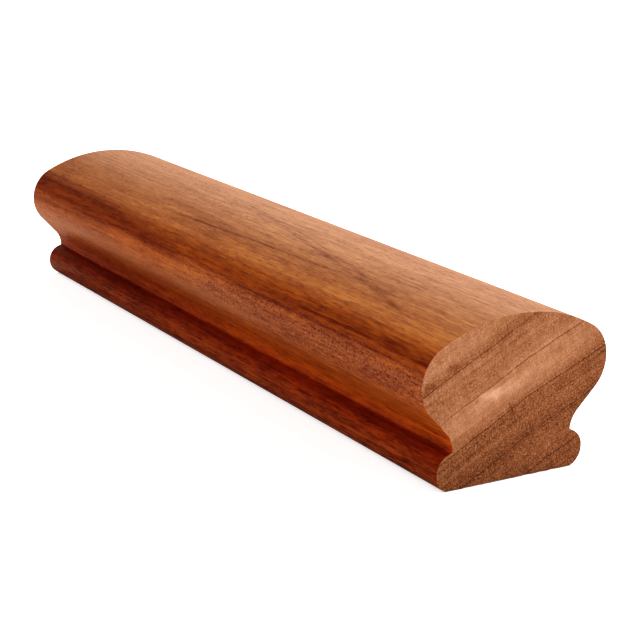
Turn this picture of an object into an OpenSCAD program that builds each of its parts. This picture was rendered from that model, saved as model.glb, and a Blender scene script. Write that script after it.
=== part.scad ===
// A straight length of moulded handrail, cut from one solid piece of hardwood: a crowned top,
// round shoulders, a finger cove along each side, a narrow neck and a foot with round noses.
// The rail runs along X, centred on the origin, and its flat underside lies at z = 0.

/* [Rail] */
// Length between the two sawn ends
rail_len = 228.6; // [60:0.1:3600]
// Width across the shoulders, which is the width a hand closes round
rail_w = 57.15; // [46:0.05:80]

/* [Head] */
// Height from the widest line up to the top of the crown
head_h = 15; // [11.5:0.1:24]
// Radius of each round shoulder
shoulder_r = 10.5; // [7:0.1:14]

/* [Coves and neck] */
// Height from the top of the foot up to the widest line
cove_h = 17.5; // [14.2:0.1:30]
// Length of the straight slope between each cove and its shoulder
flank_len = 7.3; // [1:0.1:11]
// Width of the neck at the two quirks, where the coves meet the foot
neck_w = 36.8; // [28:0.1:44.2]

/* [Foot] */
// Width across the round noses of the foot
foot_w = 45.4; // [37.6:0.1:60]
// Height of the foot, from the underside to the top of its noses
foot_h = 10; // [7:0.1:14]
// How much of each round nose the planed underside cuts away
base_cut = 0.4; // [0:0.05:1.5]

/* [Hidden] */
$fn = 120;

// Overlap where one edge runs tangent into the next, so that the two join along one clean line
lap = 0.0005;
// How far the neck reaches down inside the foot
neck_root = 0.5;

// Foot: each nose is a round tangent to the foot's top, and the underside trims it
nose_r = (foot_h + base_cut) / 2;
nose_at = [foot_w / 2 - nose_r, foot_h - nose_r];

// Quirk: the sharp inner corner where the neck meets the foot, on the nose if the neck is wide
quirk_y = neck_w / 2;
quirk_over = max(quirk_y - nose_at[0], 0);
quirk = [quirk_y, nose_at[1] + sqrt(pow(nose_r, 2) - pow(quirk_over, 2))];

// Shoulder: centred on the widest line
widest_z = foot_h + cove_h;
shoulder_at = [rail_w / 2 - shoulder_r, widest_z];

// Cove: leaves the quirk upright, then runs tangent into the straight slope below the shoulder
cove_run = shoulder_at - quirk;
cove_r = (cove_run * cove_run - pow(shoulder_r, 2) - pow(flank_len, 2))
    / (2 * (shoulder_r + cove_run[0]));
cove_at = quirk + [cove_r, 0];
flank_turn = atan2(shoulder_at[1] - cove_at[1], shoulder_at[0] - cove_at[0])
    + atan2(flank_len, cove_r + shoulder_r);
flank_dir = [cos(flank_turn), sin(flank_turn)];
flank_low = cove_at + (cove_r - lap) * flank_dir;
flank_high = shoulder_at - (shoulder_r - lap) * flank_dir;

// Crown: one wide arc across the top that runs tangent into both shoulders and ends inside them
crown_rise = head_h - shoulder_r;
crown_r = shoulder_r + (pow(crown_rise, 2) + pow(shoulder_at[0], 2)) / (2 * crown_rise);
rail_h = widest_z + head_h;
crown_at = [0, rail_h - crown_r];
crown_low = shoulder_at + (shoulder_at - crown_at) * (shoulder_r - lap) / (crown_r - shoulder_r);

// Foot on one side of the centre line, with its round nose
module half_foot() {
    square([nose_at[0], foot_h]);
    intersection() {
        translate(nose_at) circle(nose_r);
        square([foot_w, foot_h]);
    }
}

// Neck, slope and shoulder on one side, with the cove scooped out
module half_head() {
    difference() {
        polygon([
            [0, 0], quirk - [0, neck_root], flank_low, flank_high, shoulder_at, crown_low,
            [0, crown_low[1]]
        ]);
        translate(cove_at) circle(cove_r);
    }
    translate(shoulder_at - [lap, 0]) circle(shoulder_r + lap);
}

// Wide arc across the top, on one side of the centre line
module half_crown() {
    intersection() {
        translate(crown_at) circle(crown_r, $fn = 360);
        translate([0, crown_low[1]]) square([crown_low[0], head_h]);
    }
}

// Cross-section of one side, with the centre line at x = 0 and the underside at y = 0
module half_section() {
    half_foot();
    half_head();
    half_crown();
}

// The whole rail, run along X between square sawn ends
module rail() {
    color("sienna")
    rotate([90, 0, 90])
    translate([0, 0, -rail_len / 2])
    linear_extrude(rail_len) {
        half_section();
        mirror([1, 0]) half_section();
    }
}

rail();
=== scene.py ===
import math

import bpy
from mathutils import Matrix, Vector


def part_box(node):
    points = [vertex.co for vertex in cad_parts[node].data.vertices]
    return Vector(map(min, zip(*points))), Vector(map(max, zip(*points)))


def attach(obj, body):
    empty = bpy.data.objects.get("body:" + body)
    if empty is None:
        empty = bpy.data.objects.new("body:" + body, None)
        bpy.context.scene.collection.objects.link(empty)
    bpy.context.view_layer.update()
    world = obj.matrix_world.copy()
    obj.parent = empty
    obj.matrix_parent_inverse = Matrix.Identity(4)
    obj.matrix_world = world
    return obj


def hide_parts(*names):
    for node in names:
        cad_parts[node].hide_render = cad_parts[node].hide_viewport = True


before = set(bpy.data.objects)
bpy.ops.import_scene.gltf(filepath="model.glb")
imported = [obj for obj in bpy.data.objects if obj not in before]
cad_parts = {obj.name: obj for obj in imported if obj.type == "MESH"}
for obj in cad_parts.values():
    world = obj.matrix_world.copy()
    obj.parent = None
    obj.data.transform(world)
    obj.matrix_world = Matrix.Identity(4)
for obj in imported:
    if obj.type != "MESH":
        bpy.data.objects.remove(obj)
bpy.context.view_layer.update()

# ---------------------------------------------------------------------------------------------
# Camera: a long lens held low and a little to one side, looking along the rail at its near end.
# ---------------------------------------------------------------------------------------------
scene = bpy.context.scene
rail_low, rail_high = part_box("rail")

camera_azimuth = math.radians(56.82)
camera_height_angle = math.radians(16.09)
camera_tilt = math.radians(2.44)
camera_from_end = 0.3939
camera_across = -0.0465
camera_up = 0.0390

back = Vector((
    math.sin(camera_azimuth) * math.cos(camera_height_angle),
    -math.cos(camera_azimuth) * math.cos(camera_height_angle),
    math.sin(camera_height_angle),
))
level_right = Vector((math.cos(camera_azimuth), math.sin(camera_azimuth), 0))
level_up = back.cross(level_right)
right = math.cos(camera_tilt) * level_right + math.sin(camera_tilt) * level_up
up = back.cross(right)
near_end_base = Vector((rail_high.x, 0, rail_low.z))

lens = bpy.data.cameras.new("camera")
lens.sensor_width = 36
lens.lens = 90.26
lens.clip_start = 0.01
camera = bpy.data.objects.new("camera", lens)
scene.collection.objects.link(camera)
turn = Matrix((right, up, back)).transposed().to_4x4()
place = near_end_base + back * camera_from_end + right * camera_across + up * camera_up
camera.matrix_world = Matrix.Translation(place) @ turn
scene.camera = camera

# ---------------------------------------------------------------------------------------------
# The rail: one length of straight-grained red-brown hardwood of the mahogany kind, run through a
# moulder and sawn square at both ends. The long grain has a thin coat of oil and the ends are
# bare. The arrises are knocked off by hand, and the saw leaves each lower edge a little ragged.
# ---------------------------------------------------------------------------------------------
MM = 0.001
half_length = rail_high.x / MM


def put(tree, kind, options=None, *fills, **named):
    """Adds a node, sets its options, and fills or joins its inputs in order or by name."""
    node = tree.nodes.new(kind)
    for key, value in (options or {}).items():
        setattr(node, key, value)
    pairs = [(node.inputs[i], v) for i, v in enumerate(fills)]
    pairs += [(node.inputs[k.replace("_", " ")], v) for k, v in named.items()]
    for socket, value in pairs:
        if isinstance(value, bpy.types.NodeSocket):
            tree.links.new(value, socket)
        elif value is not None:
            socket.default_value = value
    return node


def calc(tree, operation, *values):
    """A maths node: returns its one output."""
    return put(tree, "ShaderNodeMath", {"operation": operation}, *values).outputs[0]


def total(tree, terms):
    """The sum of several numbers."""
    whole, *others = terms
    for term in others:
        whole = calc(tree, "ADD", whole, term)
    return whole


def ease(tree, value, low, high, at_low=0.0, at_high=1.0):
    """A smooth step from at_low to at_high as value goes from low to high."""
    node = put(tree, "ShaderNodeMapRange", {"interpolation_type": "SMOOTHSTEP"},
               value, low, high, at_low, at_high)
    return node.outputs[0]


def stretch(tree, vector, scale, move=(0, 0, 0)):
    """The pattern's coordinates in cells: vector times scale, then moved."""
    node = put(tree, "ShaderNodeVectorMath", {"operation": "MULTIPLY_ADD"}, vector, scale, move)
    return node.outputs[0]


def cloud(tree, vector, detail=2.0, roughness=0.5):
    """Soft noise, about 0.5 on average."""
    node = put(tree, "ShaderNodeTexNoise", {"noise_dimensions": "3D"},
               Vector=vector, Scale=1.0, Detail=detail, Roughness=roughness)
    return node.outputs["Fac"]


def blend(tree, factor, a, b, mode="MIX"):
    """Two colours mixed by a mask."""
    node = put(tree, "ShaderNodeMix", {"data_type": "RGBA", "blend_type": mode})
    for socket, value in ((node.inputs[0], factor), (node.inputs[6], a), (node.inputs[7], b)):
        if isinstance(value, bpy.types.NodeSocket):
            tree.links.new(value, socket)
        else:
            socket.default_value = value
    return node.outputs[2]


def graded(tree, value, stops):
    """A colour that follows given stops of (place, colour), straight between them."""
    low, high = stops[0][0], stops[-1][0]
    node = tree.nodes.new("ShaderNodeValToRGB")
    ramp = node.color_ramp.elements
    while len(ramp) < len(stops):
        ramp.new(0.5)
    for stop, (place, colour) in zip(ramp, stops):
        stop.position = (place - low) / (high - low)
        stop.color = (*colour, 1)
    part = put(tree, "ShaderNodeMapRange", {}, value, low, high, 0.0, 1.0).outputs[0]
    tree.links.new(part, node.inputs[0])
    return node.outputs[0]


def profiled(tree, value, stops):
    """A number that follows given stops of (place, number), straight between them."""
    grey = graded(tree, value, [(place, (height, height, height)) for place, height in stops])
    return put(tree, "ShaderNodeSeparateColor", {}, grey).outputs[0]


def timber_figure():
    """Rings, rays, pores and streaks of one board, as masks at any point in the solid, so that
    the lines on the sawn ends carry on along the moulded sides."""
    group = bpy.data.node_groups.new("timber_figure", "ShaderNodeTree")
    face = group.interface
    face.new_socket("Place", in_out="INPUT", socket_type="NodeSocketVector")
    for name, value in (("Ring spacing", 9.4), ("Pith across", 202.0), ("Pith down", -382.0),
                        ("Grain slope", 0.052)):
        socket = face.new_socket(name, in_out="INPUT", socket_type="NodeSocketFloat")
        socket.default_value = value
    for name in ("Year", "Line", "Streak", "Pore", "Patch", "Ray", "Grit", "Fibre", "Mottle"):
        face.new_socket(name, in_out="OUTPUT", socket_type="NodeSocketFloat")
    source = group.nodes.new("NodeGroupInput").outputs
    result = group.nodes.new("NodeGroupOutput").inputs

    def m(operation, *values):
        return calc(group, operation, *values)

    def cells(vector, length, width, move=(0, 0, 0)):
        """The pattern's coordinates in cells of this length along the grain and width, in mm."""
        return stretch(group, vector, (1 / length, 1 / width, 1 / width), move)

    def sway(place, throw, detail):
        """A smooth sideways shift of the grain, by half of throw either way."""
        noise = put(group, "ShaderNodeTexNoise", {"noise_dimensions": "3D"},
                    Vector=place, Scale=1.0, Detail=detail)
        return stretch(group, noise.outputs["Color"], (0, throw, throw), (0, -throw / 2, -throw / 2))

    # millimetres, with the grain wandering a little along the length
    mm = stretch(group, source["Place"], (1 / MM, 1 / MM, 1 / MM))
    warped = mm
    for bend in (sway(cells(mm, 120, 50, (3.1, 0.4, 7.7)), 4.0, 1.0),
                 sway(cells(mm, 30, 7), 0.8, 3.0)):
        warped = put(group, "ShaderNodeVectorMath", {"operation": "ADD"}, warped, bend).outputs[0]

    # rings: distance from the pith, which lies far below and to one side; the rings climb
    # towards the far end, because the board wasn't sawn quite along its grain
    base_reach = 432.1
    first_line = 35.3
    false_rings = 4.3
    parts = put(group, "ShaderNodeSeparateXYZ", {}, warped).outputs
    across = m("SUBTRACT", parts["Y"], source["Pith across"])
    down = m("SUBTRACT", parts["Z"], source["Pith down"])
    reach = m("SQRT", m("ADD", m("MULTIPLY", across, across), m("MULTIPLY", down, down)))
    climb = m("MULTIPLY", source["Grain slope"], m("SUBTRACT", half_length, parts["X"]))
    level = m("ADD", m("SUBTRACT", reach, base_reach), climb)
    ring = m("DIVIDE", m("SUBTRACT", level, first_line), source["Ring spacing"])
    phase = m("FRACT", ring)
    late = m("MULTIPLY", ease(group, phase, 0.0, 0.008),
             m("SUBTRACT", 1.0, ease(group, phase, 0.016, 0.04)))
    false_phase = m("FRACT", m("MULTIPLY_ADD", ring, false_rings, 0.2))
    false_line = m("SUBTRACT", 1.0, ease(group, false_phase, 0.0, 0.12))

    # how dark each year's wood is, by its height in mm above the underside of the near end: the lower
    # years are heartwood, darker than the upper ones, and part of their darkening towards the
    # underside is painted shade
    years = ((-8, 0.88), (4, 0.66), (7, 0.92), (12, 0.58), (13, 0.72), (16.8, 0.64), (19.0, 0.26),
             (22.5, 0.04), (26, 0.16), (29.5, 0.36), (34, 0.32), (35.5, 0.52), (37.5, 0.42),
             (39, 0.12), (44, 0.16), (45, 0.34), (48, 0.20), (53, 0.22), (54, 0.70), (60, 0.40))
    year = profiled(group, level, years)
    fine = cloud(group, put(group, "ShaderNodeCombineXYZ", {}, m("MULTIPLY", level, 0.9),
                            m("MULTIPLY", parts["X"], 1 / 110),
                            m("MULTIPLY", across, 1 / 45)).outputs[0], 4.0, 0.65)
    year = m("ADD", year, m("SUBTRACT", fine, 0.5))
    late = m("MAXIMUM", late, m("MULTIPLY", false_line, m("MULTIPLY_ADD", year, 0.6, 0.08)))

    # rays run from the pith outwards, across the rings
    crown_reach = 450.0
    around = m("MULTIPLY", m("ARCTAN2", across, down), crown_reach)
    ray = cloud(group, put(group, "ShaderNodeCombineXYZ", {}, m("MULTIPLY", around, 1.8),
                           m("MULTIPLY", level, 0.10), m("MULTIPLY", parts["X"], 0.5)).outputs[0],
                3.0, 0.7)

    # long fibres and the vessels, cut open as fine dark dashes or, on end grain, as dots
    streak = cloud(group, cells(warped, 30, 0.9), 4.0, 0.65)
    vessels = put(group, "ShaderNodeTexVoronoi", {"voronoi_dimensions": "3D", "feature": "F1"},
                  Vector=cells(warped, 3.2, 0.4), Scale=1.0)
    size = put(group, "ShaderNodeSeparateColor", {}, vessels.outputs["Color"]).outputs[0]
    bore = m("ADD", m("MULTIPLY_ADD", size, 0.26, 0.06), m("MULTIPLY", year, 0.16))
    gap = m("SUBTRACT", vessels.outputs["Distance"], bore)
    pore = m("SUBTRACT", 1.0, ease(group, gap, -0.06, 0.09))

    # slow drift of colour through the board
    patch = cloud(group, cells(mm, 70, 18, (1.7, 5.2, 2.9)), 3.0, 0.55)

    # torn fibre ends, about as wide as the pores, then the short curl of the fibres in two sizes
    grit = cloud(group, cells(mm, 0.9, 0.5), 2.0, 0.6)
    fibre = cloud(group, cells(warped, 4.5, 0.5), 3.0, 0.6)
    mottle = cloud(group, cells(warped, 8, 2.4, (4.1, 8.3, 0.6)), 4.0, 0.6)

    for name, value in (("Year", year), ("Line", late), ("Streak", streak), ("Pore", pore),
                        ("Patch", patch), ("Ray", ray), ("Grit", grit), ("Fibre", fibre),
                        ("Mottle", mottle)):
        group.links.new(value, result[name])
    return group


def ragged_stroke():
    """One long thin mark on the surface, from one place to another, ragged and fading out, used for
    streaks and scuffs in the wood and for bands of painted light and shade.
    """
    group = bpy.data.node_groups.new("ragged_stroke", "ShaderNodeTree")
    face = group.interface
    for name in ("Along", "Across", "Ragged", "Start", "Start across", "Stop", "Stop across",
                 "Width"):
        face.new_socket(name, in_out="INPUT", socket_type="NodeSocketFloat")
    face.new_socket("Mark", in_out="OUTPUT", socket_type="NodeSocketFloat")
    source = group.nodes.new("NodeGroupInput").outputs
    result = group.nodes.new("NodeGroupOutput").inputs

    def m(operation, *values):
        return calc(group, operation, *values)

    run = m("SUBTRACT", source["Stop"], source["Start"])
    part = m("DIVIDE", m("SUBTRACT", source["Along"], source["Start"]), run)
    lean = m("SUBTRACT", source["Stop across"], source["Start across"])
    line = m("ADD", source["Start across"], m("MULTIPLY", part, lean))
    off = m("ABSOLUTE", m("SUBTRACT", source["Across"], line))
    reach = m("MULTIPLY", source["Width"], m("MULTIPLY_ADD", source["Ragged"], 2.4, -0.2))
    body = ease(group, m("DIVIDE", off, reach), 0.2, 1.0, 1.0, 0.0)
    ends = m("MULTIPLY", ease(group, part, 0.0, 0.2), ease(group, part, 0.8, 1.0, 1.0, 0.0))
    group.links.new(m("MULTIPLY", body, ends), result["Mark"])
    return group


figure = timber_figure()
stroke = ragged_stroke()


def timber(name):
    """A new material with the board's figure in it, and what its looks are worked out from."""
    material = bpy.data.materials.new(name)
    material.use_nodes = True
    tree = material.node_tree
    place_at = tree.nodes.new("ShaderNodeTexCoord").outputs["Object"]
    in_mm = stretch(tree, place_at, (1 / MM, 1 / MM, 1 / MM))
    spot = put(tree, "ShaderNodeSeparateXYZ", {}, in_mm).outputs
    wood = put(tree, "ShaderNodeGroup", {"node_tree": figure}, Place=place_at).outputs
    return material, tree, spot, wood


def mark_at(tree, along, across, ragged, sizes):
    """One listed mark: start, place across there, stop, place across there, and width."""
    return put(tree, "ShaderNodeGroup", {"node_tree": stroke}, along, across, ragged,
               *sizes).outputs[0]


def finish_wood(tree, colour, roughness, relief, gloss):
    """Joins the worked-out colour, roughness and fine relief to the shader and returns it."""
    shader = tree.nodes["Principled BSDF"]
    tree.links.new(colour, shader.inputs["Base Color"])
    if isinstance(roughness, bpy.types.NodeSocket):
        tree.links.new(roughness, shader.inputs["Roughness"])
    else:
        shader.inputs["Roughness"].default_value = roughness
    bump = put(tree, "ShaderNodeBump", {}, Strength=0.7, Distance=MM, Height=relief)
    tree.links.new(bump.outputs["Normal"], shader.inputs["Normal"])
    shader.inputs["Specular IOR Level"].default_value = gloss
    return shader


# marks along the near side, in mm: start, girth there, stop, girth there, width, strength; the
# girth is measured round the outline from the top of the crown
dark_marks = (
    (-34, 18.9, 34, 15.7, 0.8, 0.80), (14, 16.4, 64, 14.8, 0.6, 0.40),
    (-22, -1.2, 38, 9.4, 1.0, 0.36), (22, 6.6, 98, 20.0, 1.3, 0.50),
    (-140, 30.6, 0, 30.8, 3.0, 0.46), (-52, 13.4, 14, 16.5, 2.6, 0.35),
    (-30, 20.5, 6, 21.5, 2.2, 0.30), (17, 24.7, 29, 24.5, 0.8, 0.60),
    (42, 24.3, 68, 24.2, 0.4, 0.50), (62, 23.9, 96, 24.0, 0.3, 0.40),
    (54, 29.8, 96, 29.3, 0.7, 0.95), (90, 29.9, 136, 29.8, 0.6, 0.80),
    (16, 31.6, 136, 32.0, 0.6, 0.85), (50, 28.0, 130, 28.6, 2.4, 0.40),
    (52, 33.2, 126, 33.9, 0.4, 0.50), (-70, 33.2, -14, 28.8, 1.2, 0.45),
    (-126, 26.3, -40, 27.4, 3.6, 0.56), (-126, 24.2, -66, 24.4, 0.7, 0.45),
    # the first band on this line, at girth 34.4 towards the far end, is painted shade that dims the
    # sheen there
    (-180, 34.4, -50, 34.4, 2.2, 0.32), (10, 35.2, 28, 34.7, 0.8, 0.60),
    (-44, 31.8, -6, 31.2, 0.8, 0.50), (20, 37.4, 126, 38.6, 1.2, 0.25),
    (0, 35.6, 170, 36.6, 4.2, 0.42),
)
pale_marks = (
    (-80, 65.4, 40, 63.8, 0.7, 0.6), (-14, 62.8, 70, 61.2, 0.6, 0.8),
    (50, 61.3, 130, 60.4, 0.5, 0.8), (20, 64.6, 124, 63.4, 0.5, 0.6),
    # on these two lines, the band at girth 54 towards the near end is a painted glow of light thrown
    # up from the floor, and the band at girth 38 towards the far end is a painted sheen
    (40, 53.4, 140, 54.4, 1.8, 0.7), (-66, 34.6, 34, 33.6, 2.2, 0.6),
    (-10, 22.4, 150, 22.0, 3.2, 0.75), (-126, 38.5, -20, 38.0, 3.6, 0.5),
    (0, 26.4, 150, 26.4, 1.8, 0.6),
)
# a speckled band of scuffs in the finish whose pale specks are painted glints, and a band of painted
# sheen, a pale veil where the floor's light is reflected under the shoulder
scuff_and_glint_band = (-24, 37, 160, 37, 4.6)
sheen_band = (-230, 40.6, 70, 39.6, 4.4)

# oil colour by girth, with painted light and shade in it: paler on the crown as a painted sheen,
# deeper on the shoulders as painted shade, brighter on the flank as painted light thrown up from the
# floor, and darkest in the quirk at the foot of the cove as a painted shadow
oil_with_painted_light = (
    (0, (0.295, 0.122, 0.053)), (10, (0.288, 0.111, 0.042)), (17, (0.282, 0.093, 0.026)),
    (23.5, (0.30, 0.086, 0.018)), (26, (0.29, 0.062, 0.008)), (31, (0.29, 0.048, 0.003)),
    (35, (0.38, 0.086, 0.009)), (44, (0.44, 0.096, 0.009)), (50, (0.44, 0.086, 0.006)),
    (54, (0.40, 0.060, 0.003)), (56.2, (0.36, 0.045, 0.002)), (57, (0.17, 0.010, 0.0006)),
    (59, (0.19, 0.013, 0.0008)), (61, (0.26, 0.028, 0.0015)), (64, (0.28, 0.038, 0.002)),
    (96, (0.28, 0.044, 0.003)),
)
# a darker, browner copy of the oil colour for the far side, which the key lamp lights: painted shade
far_side_painted_shade = (0.20, 0.066, 0.020, 1)
dark_tint = (0.40, 0.14, 0.03, 1)
pale_tint = (1.40, 1.65, 1.6, 1)
# the pale colour of the painted sheen and glints
sheen_colour = (0.39, 0.185, 0.105, 1)
# how strongly the fine figure shows, by girth, and what it is made of: part, weight, shift
lively = ((0, 0.38), (16, 0.40), (26, 0.54), (34, 0.54), (40, 0.52), (52, 0.56), (57, 0.60),
          (62, 0.90), (96, 0.90))
fine_figure = (("Streak", 1.6, -0.77), ("Fibre", 1.5, -0.75), ("Mottle", 0.9, -0.48),
               ("Pore", 0.26, 0.0))
broad_figure = (("Year", 0.36, -0.03), ("Patch", 0.7, -0.35))


def planed_face():
    """Moulded long grain with a thin coat of oil finished to a satin, its colour holding painted
    light and shade.
    """
    material, tree, spot, wood = timber("oiled_long_grain")

    def m(operation, *values):
        return calc(tree, operation, *values)

    girth = put(tree, "ShaderNodeAttribute", {"attribute_name": "girth"}).outputs["Fac"]
    near_girth = m("MULTIPLY", girth, m("LESS_THAN", spot["Y"], 0.0))
    place_at = tree.nodes.new("ShaderNodeTexCoord").outputs["Object"]
    ragged = cloud(tree, stretch(tree, place_at, (150, 1100, 1100)), 4.0, 0.6)

    def marks(rows):
        strongest = 0.0
        for *sizes, strength in rows:
            mark = mark_at(tree, spot["X"], near_girth, ragged, sizes)
            strongest = m("MAXIMUM", strongest, m("MULTIPLY", mark, strength))
        return strongest

    def weighed(parts):
        return total(tree, [m("MULTIPLY_ADD", wood[part], weight, shift)
                            for part, weight, shift in parts])

    # how dark the figure turns the wood, with painted shade low in the cove at the far end: above 0
    # is darker than the oil's own colour
    # masks for the band of scuffs with its painted glints, and for the band of painted sheen
    scuff_and_glints = mark_at(tree, spot["X"], near_girth, 0.8, scuff_and_glint_band)
    sheen_mask = mark_at(tree, spot["X"], near_girth, 0.6, sheen_band)
    showing = m("MULTIPLY", profiled(tree, girth, lively), ease(tree, spot["X"], -114, 30, 2.24, 3.2))
    lines = m("MULTIPLY", wood["Line"], m("MULTIPLY_ADD", wood["Patch"], 0.5, 0.15))
    shade = total(tree, (
        m("MULTIPLY", weighed(fine_figure), showing),
        weighed(broad_figure),
        m("MULTIPLY", lines, ease(tree, girth, 12, 20, 1.0, 0.2)),
        m("MULTIPLY", marks(dark_marks), 0.95),
        m("MULTIPLY", marks(pale_marks), -0.40),
        m("MULTIPLY", scuff_and_glints, m("MULTIPLY", m("SUBTRACT", wood["Grit"], 0.47), 3.4)),
        # a little darker towards the far end
        ease(tree, spot["X"], -90, 60, 0.12, 0.0),
        # darker low in the cove towards the far end, running into the quirk: painted shade
        m("MULTIPLY", ease(tree, spot["X"], -110, 60, 0.52, 0.04), ease(tree, near_girth, 44, 53)),
    ))
    shade = put(tree, "ShaderNodeMapRange", {}, shade, -0.6, 1.2, -0.5, 1.0).outputs[0]

    # the oil's colour with its painted light and shade, darkened or paled by the figure, then paled
    # by the painted sheen and glints
    # the far side takes that darker copy of the oil colour: painted shade against the key lamp
    behind = m("MULTIPLY", m("GREATER_THAN", spot["Y"], 0.0), ease(tree, girth, 17, 32, 0.0, 0.9))
    oil = blend(tree, behind, graded(tree, girth, oil_with_painted_light), far_side_painted_shade)
    dark = blend(tree, 1.0, oil, dark_tint, "MULTIPLY")
    pale = blend(tree, 1.0, oil, pale_tint, "MULTIPLY")
    colour = blend(tree, m("MAXIMUM", m("MULTIPLY", shade, -2.0), 0.0), oil, pale)
    colour = blend(tree, m("MAXIMUM", shade, 0.0), colour, dark)
    # painted sheen: pale specks of glint on the band of scuffs, and a pale veil along the sheen band,
    # stronger towards the far end
    painted_sheen = m("ADD", m("MULTIPLY", scuff_and_glints, ease(tree, wood["Grit"], 0.65, 0.35, 0.0, 0.30)),
             m("MULTIPLY", sheen_mask, ease(tree, spot["X"], -110, 0, 0.42, 0.20)))
    colour = blend(tree, painted_sheen, colour, sheen_colour)

    rough = m("ADD", m("MULTIPLY_ADD", wood["Streak"], 0.24, 0.32), m("MULTIPLY", wood["Pore"], 0.2))
    relief = m("MULTIPLY", m("SUBTRACT", wood["Streak"], wood["Pore"]), 0.05)
    shader = finish_wood(tree, colour, rough, relief, gloss=0.30)
    shader.inputs["Specular Tint"].default_value = (1.0, 0.62, 0.36, 1)
    return material


# bare wood, from the palest early growth to the open pores
bare = ((-0.6, (0.70, 0.38, 0.23)), (-0.1, (0.52, 0.240, 0.120)), (0.4, (0.36, 0.138, 0.054)),
        (1.0, (0.22, 0.062, 0.012)), (1.9, (0.05, 0.008, 0.001)))
# knife and ray marks on the near end: start across, height there, stop, height, width, strength
end_marks = (
    (-28.0, 27.2, -24.2, 27.7, 1.3, 0.50), (-21.8, 31.0, -16.6, 31.6, 1.5, 0.40),
    (-24.4, 23.4, -21.4, 23.1, 0.8, 0.35), (-2.1, 20.0, -0.3, 17.0, 0.5, 0.60),
    (-14.0, 20.6, 5.0, 26.6, 2.8, -0.30), (-12.0, 22.6, -4.0, 23.6, 1.6, -0.35),
)


def sawn_face():
    """Bare end grain off a fine saw: paler, dry, and speckled with open pores."""
    material, tree, spot, wood = timber("sawn_end_grain")

    def m(operation, *values):
        return calc(tree, operation, *values)

    near = m("GREATER_THAN", spot["X"], 0.0)
    marks = []
    for *sizes, strength in end_marks:
        mark = mark_at(tree, spot["Y"], spot["Z"], wood["Grit"], sizes)
        marks.append(m("MULTIPLY", mark, strength))
    dotted = m("MULTIPLY", m("MULTIPLY_ADD", wood["Grit"], 1.8, 0.1),
               m("MULTIPLY_ADD", wood["Mottle"], 1.6, 0.1))
    coarse = m("MULTIPLY_ADD", wood["Year"], 2.8, 0.8)
    shade = total(tree, (
        wood["Year"],
        m("MULTIPLY_ADD", wood["Patch"], 0.5, -0.25),
        m("MULTIPLY", total(tree, marks), near),
        m("MULTIPLY_ADD", wood["Ray"], 0.7, -0.35),
        m("MULTIPLY", wood["Line"], dotted),
        m("MULTIPLY", wood["Pore"], 0.42),
        m("MULTIPLY_ADD", wood["Mottle"], 0.9, -0.45),
        m("MULTIPLY", m("SUBTRACT", wood["Grit"], 0.5), coarse),
    ))
    relief = m("ADD", m("MULTIPLY", wood["Pore"], -0.08), m("MULTIPLY", wood["Ray"], 0.06))
    finish_wood(tree, graded(tree, shade, bare), 0.75, relief, gloss=0.25)
    return material


long_grain = planed_face()
end_grain = sawn_face()


def arc(centre, radius, start, stop, steps):
    """Points round an arc, angles in degrees, the first one left out."""
    turns = [math.radians(start + (stop - start) * i / steps) for i in range(1, steps + 1)]
    return [(centre[0] + radius * math.cos(t), centre[1] + radius * math.sin(t)) for t in turns]


def straight(a, b, steps):
    """Points along a straight edge, the first one left out."""
    return [(a[0] + (b[0] - a[0]) * i / steps, a[1] + (b[1] - a[1]) * i / steps)
            for i in range(1, steps + 1)]


def section_outline(width, height):
    """The rail's cross-section in millimetres, from the middle of the underside to the right."""
    foot_w, foot_h, base_cut, neck_w = 45.4, 10.0, 0.4, 36.8
    shoulder_r, head_h, flank = 10.5, 15.0, 7.3
    nose_r = (foot_h + base_cut) / 2
    nose = (foot_w / 2 - nose_r, foot_h - nose_r)
    quirk_y = neck_w / 2
    quirk = (quirk_y, nose[1] + math.sqrt(nose_r ** 2 - (quirk_y - nose[0]) ** 2))
    shoulder = (width / 2 - shoulder_r, height - head_h)
    run = (shoulder[0] - quirk[0], shoulder[1] - quirk[1])
    cove_r = (run[0] ** 2 + run[1] ** 2 - shoulder_r ** 2 - flank ** 2) / (2 * (shoulder_r + run[0]))
    cove = (quirk[0] + cove_r, quirk[1])
    slope = math.degrees(math.atan2(shoulder[1] - cove[1], shoulder[0] - cove[0])
                         + math.atan2(flank, cove_r + shoulder_r))
    rise = head_h - shoulder_r
    crown_r = shoulder_r + (rise ** 2 + shoulder[0] ** 2) / (2 * rise)
    crown_low = height - crown_r
    lean = math.degrees(math.atan2(shoulder[1] - crown_low, shoulder[0]))
    nose_start = -math.degrees(math.asin(nose[1] / nose_r))
    nose_stop = math.degrees(math.atan2(quirk[1] - nose[1], quirk[0] - nose[0]))

    half = [(0.0, 0.0)]
    base_edge = nose[0] + nose_r * math.cos(math.radians(nose_start))
    half += straight(half[0], (base_edge, 0.0), 16)
    half += arc(nose, nose_r, nose_start, nose_stop, 22)
    half += arc(cove, cove_r, 180, slope, 10)
    flank_top = tuple(s - shoulder_r * f for s, f in
                      zip(shoulder, (math.cos(math.radians(slope)), math.sin(math.radians(slope)))))
    half += straight(half[-1], flank_top, 8)
    half += arc(shoulder, shoulder_r, slope - 180, lean, 26)
    half += arc((0, crown_low), crown_r, lean, 90, 22)
    return half + [(-y, z) for y, z in half[-2:0:-1]]


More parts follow.
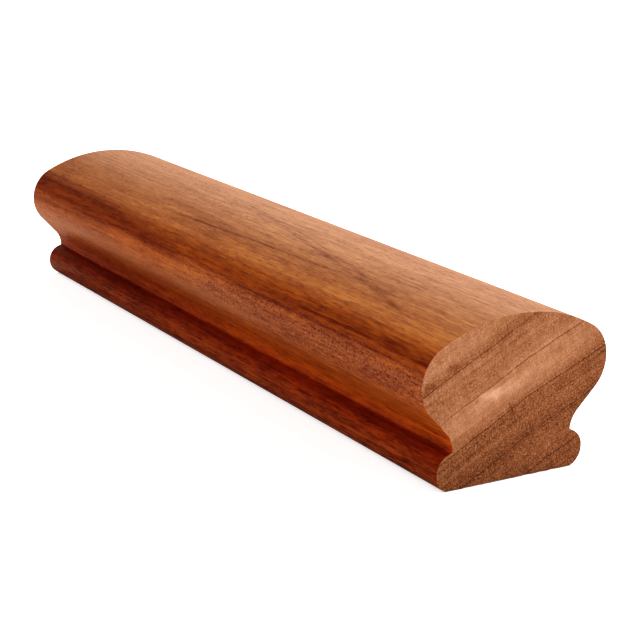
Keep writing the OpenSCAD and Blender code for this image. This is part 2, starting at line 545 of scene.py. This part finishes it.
def moulding_tree():
    """Runs a closed outline along X between two sawn ends, with eased arrises and closed caps."""
    tree = bpy.data.node_groups.new("run_moulding", "GeometryNodeTree")
    face = tree.interface
    face.new_socket("Geometry", in_out="INPUT", socket_type="NodeSocketGeometry")
    for name, kind in (("Length", "Float"), ("Arris", "Float"), ("Unevenness", "Float"),
                       ("Tear-out", "Float"), ("Cap rings", "Int"), ("Arris rings", "Int"),
                       ("Stations", "Int"), ("Seed", "Int"), ("Long grain", "Material"),
                       ("End grain", "Material")):
        face.new_socket(name, in_out="INPUT", socket_type="NodeSocket" + kind)
    face.new_socket("Geometry", in_out="OUTPUT", socket_type="NodeSocketGeometry")
    given = tree.nodes.new("NodeGroupInput").outputs
    result = tree.nodes.new("NodeGroupOutput").inputs

    def m(operation, *values):
        return calc(tree, operation, *values)

    # a grid with one row for each ring along the rail and one column for each outline point
    points = put(tree, "GeometryNodeAttributeDomainSize", {"component": "MESH"},
                 given["Geometry"]).outputs["Point Count"]
    inner = m("ADD", given["Cap rings"], given["Arris rings"])
    rows = m("ADD", m("MULTIPLY", inner, 2.0), given["Stations"])
    grid = put(tree, "GeometryNodeMeshGrid", {}, 1.0, 1.0, m("ADD", rows, 1.0),
               m("ADD", points, 1.0)).outputs["Mesh"]
    index = put(tree, "GeometryNodeInputIndex").outputs[0]
    columns = m("ADD", points, 1.0)
    row = m("FLOOR", m("DIVIDE", m("ADD", index, 0.5), columns))
    column = m("MODULO", m("SUBTRACT", index, m("MULTIPLY", row, columns)), points)

    # the outline's point and its outward direction at each column
    place_at = put(tree, "GeometryNodeInputPosition").outputs[0]

    def sample(shift):
        at = m("FLOORED_MODULO", m("ADD", column, shift), points)
        node = put(tree, "GeometryNodeSampleIndex", {"data_type": "FLOAT_VECTOR", "domain": "POINT"},
                   Geometry=given["Geometry"], Index=at)
        vector = [s for s in node.inputs if s.name == "Value" and s.enabled][0]
        tree.links.new(place_at, vector)
        return [s for s in node.outputs if s.enabled][0]

    here = sample(0.0)
    along = put(tree, "ShaderNodeVectorMath", {"operation": "SUBTRACT"}, sample(1.0), sample(-1.0))
    outward = put(tree, "ShaderNodeVectorMath", {"operation": "CROSS_PRODUCT"}, along.outputs[0],
                  (1, 0, 0))
    outward = put(tree, "ShaderNodeVectorMath", {"operation": "NORMALIZE"}, outward.outputs[0])
    girth = put(tree, "GeometryNodeSampleIndex", {"data_type": "FLOAT", "domain": "POINT"},
                Geometry=given["Geometry"], Index=column)
    tree.links.new(put(tree, "GeometryNodeInputNamedAttribute", {"data_type": "FLOAT"},
                       "girth").outputs[0], [s for s in girth.inputs if s.name == "Value"][0])
    here_parts = put(tree, "ShaderNodeSeparateXYZ", {}, here).outputs
    out_parts = put(tree, "ShaderNodeSeparateXYZ", {}, outward.outputs[0]).outputs

    # how far the row is from the nearer end, counted in rings
    side = m("SIGN", m("SUBTRACT", row, m("MULTIPLY", rows, 0.5)))
    count = m("MINIMUM", row, m("SUBTRACT", rows, row))
    cap = m("MINIMUM", m("DIVIDE", count, given["Cap rings"]), 1.0)
    spread = m("SUBTRACT", 1.0, m("POWER", m("SUBTRACT", 1.0, cap), 1.6))
    turn = m("DIVIDE", m("SUBTRACT", count, given["Cap rings"]), given["Arris rings"])
    turn = m("MULTIPLY", m("MINIMUM", m("MAXIMUM", turn, 0.0), 1.0), math.pi / 2)
    far = m("MAXIMUM", m("SUBTRACT", count, inner), 0.0)
    far = m("POWER", m("DIVIDE", far, m("MULTIPLY", given["Stations"], 0.5)), 1.5)

    # the arris is uneven, and torn along the underside where the saw came out
    nicks_per_metre = 700
    tears_per_metre = 1900
    seed = put(tree, "ShaderNodeCombineXYZ", {}, side, given["Seed"], given["Seed"]).outputs[0]
    nick = cloud(tree, stretch(tree, here, (0, nicks_per_metre, nicks_per_metre), seed), 4.0, 0.7)
    arris = m("MULTIPLY", given["Arris"], m("MULTIPLY_ADD", nick, 1.6, 0.2))
    low_edge = ease(tree, here_parts["Z"], 0.0, 0.6 * MM, 1.0, 0.0)
    torn = cloud(tree, stretch(tree, here, (0, tears_per_metre, tears_per_metre), seed), 2.0, 0.6)
    torn = m("MULTIPLY", ease(tree, torn, 0.42, 0.72), given["Tear-out"])
    arris = m("ADD", arris, m("MULTIPLY", torn, low_edge))
    inset = m("MULTIPLY", arris, m("SUBTRACT", 1.0, m("SINE", turn)))
    half = m("MULTIPLY", given["Length"], 0.5)
    from_end = m("ADD", m("MULTIPLY", arris, m("SUBTRACT", 1.0, m("COSINE", turn))),
                 m("MULTIPLY", far, m("SUBTRACT", half, arris)))
    x = m("MULTIPLY", side, m("SUBTRACT", half, from_end))

    # caps close on a short upright line in the middle of the section
    heart = m("MULTIPLY_ADD", here_parts["Z"], 0.6, 4.5 * MM)
    rim_y = m("SUBTRACT", here_parts["Y"], m("MULTIPLY", out_parts["Y"], inset))
    rim_z = m("SUBTRACT", here_parts["Z"], m("MULTIPLY", out_parts["Z"], inset))
    y = m("MULTIPLY", rim_y, spread)
    z = m("ADD", m("MULTIPLY", rim_z, spread), m("MULTIPLY", heart, m("SUBTRACT", 1.0, spread)))
    spot = put(tree, "ShaderNodeCombineXYZ", {}, x, y, z).outputs[0]
    mesh = put(tree, "GeometryNodeStoreNamedAttribute", {"data_type": "FLOAT", "domain": "POINT"},
               grid, Name="girth", Value=girth.outputs[0]).outputs[0]
    mesh = put(tree, "GeometryNodeSetPosition", {}, mesh, Position=spot).outputs[0]

    # the moulded faces dip by a few hundredths where the cutters met softer wood
    is_side = m("GREATER_THAN", count, m("SUBTRACT", given["Cap rings"], 0.5))
    inwards = m("MULTIPLY", given["Unevenness"], -1.0)
    dip = m("MULTIPLY", cloud(tree, stretch(tree, spot, (28, 90, 90))), inwards)
    end_dip = m("MULTIPLY", cloud(tree, stretch(tree, spot, (60, 60, 160))), inwards)
    end_dip = m("MULTIPLY", end_dip, side)
    side_dip = put(tree, "ShaderNodeVectorMath", {"operation": "SCALE"}, outward.outputs[0],
                   Scale=dip).outputs[0]
    flat_dip = put(tree, "ShaderNodeCombineXYZ", {}, end_dip, 0.0, 0.0).outputs[0]
    move = put(tree, "ShaderNodeMix", {"data_type": "VECTOR"})
    tree.links.new(is_side, move.inputs[0])
    tree.links.new(flat_dip, move.inputs[4])
    tree.links.new(side_dip, move.inputs[5])
    mesh = put(tree, "GeometryNodeSetPosition", {}, mesh, Offset=move.outputs[1]).outputs[0]

    # materials by ring, then the seams are welded and creases over 40 degrees stay sharp
    on_cap = m("LESS_THAN", count, m("SUBTRACT", inner, 0.01))
    mesh = put(tree, "GeometryNodeSetMaterial", {}, mesh, Material=given["Long grain"]).outputs[0]
    mesh = put(tree, "GeometryNodeSetMaterial", {}, mesh, on_cap, given["End grain"]).outputs[0]
    mesh = put(tree, "GeometryNodeMergeByDistance", {}, mesh, Distance=0.002 * MM).outputs[0]
    mesh = put(tree, "GeometryNodeFlipFaces", {}, mesh).outputs[0]
    mesh = put(tree, "GeometryNodeSetShadeSmooth", {"domain": "FACE"}, mesh,
               Shade_Smooth=True).outputs[0]
    angle = put(tree, "GeometryNodeInputMeshEdgeAngle").outputs["Unsigned Angle"]
    crease = m("GREATER_THAN", angle, math.radians(40))
    mesh = put(tree, "GeometryNodeSetShadeSmooth", {"domain": "EDGE"}, mesh, crease,
               False).outputs[0]
    mesh = put(tree, "GeometryNodeRealizeInstances", {}, mesh).outputs[0]
    tree.links.new(mesh, result["Geometry"])
    return tree


def run_rail():
    """Makes the rail's mesh from its outline and returns the finished piece."""
    size = rail_high - rail_low
    outline = [(0, y * MM, z * MM) for y, z in section_outline(size.y / MM, size.z / MM)]
    edges = [(i, (i + 1) % len(outline)) for i in range(len(outline))]
    mesh = bpy.data.meshes.new("rail_section")
    mesh.from_pydata(outline, edges, [])
    lengths = [math.dist(outline[a], outline[b]) / MM for a, b in edges]
    crown_at = len(outline) // 2
    girth = mesh.attributes.new("girth", "FLOAT", "POINT")
    for i in range(len(outline)):
        girth.data[i].value = sum(lengths[min(i, crown_at):max(i, crown_at)])
    blank = bpy.data.objects.new("rail_section", mesh)
    scene.collection.objects.link(blank)
    run = blank.modifiers.new("run_moulding", "NODES")
    run.node_group = moulding_tree()
    values = {
        "Length": size.x, "Arris": 0.13 * MM, "Unevenness": 0.06 * MM, "Tear-out": 0.5 * MM,
        "Cap rings": 26, "Arris rings": 3, "Stations": 200, "Seed": 7,
        "Long grain": long_grain, "End grain": end_grain,
    }
    for item in run.node_group.interface.items_tree:
        if item.in_out == "INPUT" and item.name in values:
            run[item.identifier] = values[item.name]
    bpy.context.view_layer.update()
    graph = bpy.context.evaluated_depsgraph_get()
    done = bpy.data.meshes.new_from_object(blank.evaluated_get(graph))
    done.name = "moulded_rail"
    bpy.data.objects.remove(blank)
    piece = bpy.data.objects.new("moulded_rail", done)
    scene.collection.objects.link(piece)
    return piece


rail = run_rail()
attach(rail, "root")
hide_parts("rail")

# ---------------------------------------------------------------------------------------------
# Bench and light: a white sheet under the rail, a large soft lamp above and behind it, weaker
# ones in front and at the near end, and a low warm glow past the far end.
# ---------------------------------------------------------------------------------------------


def white_sheet():
    """A wide pale floor that the camera sees lit evenly, and that throws back only soft light."""
    half = 30.0
    corners = [(-half, -half), (half, -half), (half, half), (-half, half)]
    mesh = bpy.data.meshes.new("floor")
    mesh.from_pydata([(x, y, rail_low.z - 0.1 * MM) for x, y in corners], [], [(0, 1, 2, 3)])
    sheet = bpy.data.objects.new("floor", mesh)
    scene.collection.objects.link(sheet)
    paper = bpy.data.materials.new("white_paper")
    paper.use_nodes = True
    tree = paper.node_tree
    shader = tree.nodes["Principled BSDF"]
    seen = tree.nodes.new("ShaderNodeLightPath").outputs["Is Camera Ray"]
    polish = tree.nodes.new("ShaderNodeLightPath").outputs["Is Glossy Ray"]
    thrown = blend(tree, polish, (0.75, 0.75, 0.75, 1), (0.56, 0.37, 0.27, 1))
    tree.links.new(thrown, shader.inputs["Base Color"])
    tree.links.new(calc(tree, "MULTIPLY", seen, 0.55), shader.inputs["Emission Strength"])
    shader.inputs["Emission Color"].default_value = (1, 1, 1, 1)
    shader.inputs["Roughness"].default_value = 0.9
    shader.inputs["Specular IOR Level"].default_value = 0.0
    mesh.materials.append(paper)


def far_softbox(name, toward, strength, spread, tint=(1, 1, 1)):
    """Even soft light from far off, from a round patch of sky that is spread degrees wide."""
    lamp = bpy.data.lights.new(name, "SUN")
    lamp.energy = strength * math.pi
    lamp.angle = math.radians(spread)
    lamp.color = tint
    box = bpy.data.objects.new(name, lamp)
    scene.collection.objects.link(box)
    box.rotation_euler = Vector(toward).to_track_quat("Z", "Y").to_euler()


white_sheet()
far_softbox("key_lamp", (-0.10, 0.70, 0.71), 1.60, 40)
far_softbox("fill_lamp", (0.45, -0.70, 0.55), 0.50, 70)
far_softbox("end_lamp", (0.85, 0.15, 0.50), 0.15, 60)
far_softbox("backdrop_glow", (-0.80, 0.45, 0.40), 0.17, 70, (1.0, 0.74, 0.48))
far_softbox("low_glow", (-0.75, 0.62, 0.14), 0.08, 50, (1.0, 0.94, 0.90))

world = bpy.data.worlds.new("studio")
scene.world = world
world.use_nodes = True
sky = world.node_tree
air = sky.nodes["Background"]
air.inputs["Color"].default_value = (1, 1, 1, 1)
seen = sky.nodes.new("ShaderNodeLightPath").outputs["Is Camera Ray"]
sky.links.new(calc(sky, "ADD", seen, 0.06), air.inputs["Strength"])

scene.view_settings.view_transform = "Standard"
scene.view_settings.look = "Medium High Contrast"

bpy.context.view_layer.update()
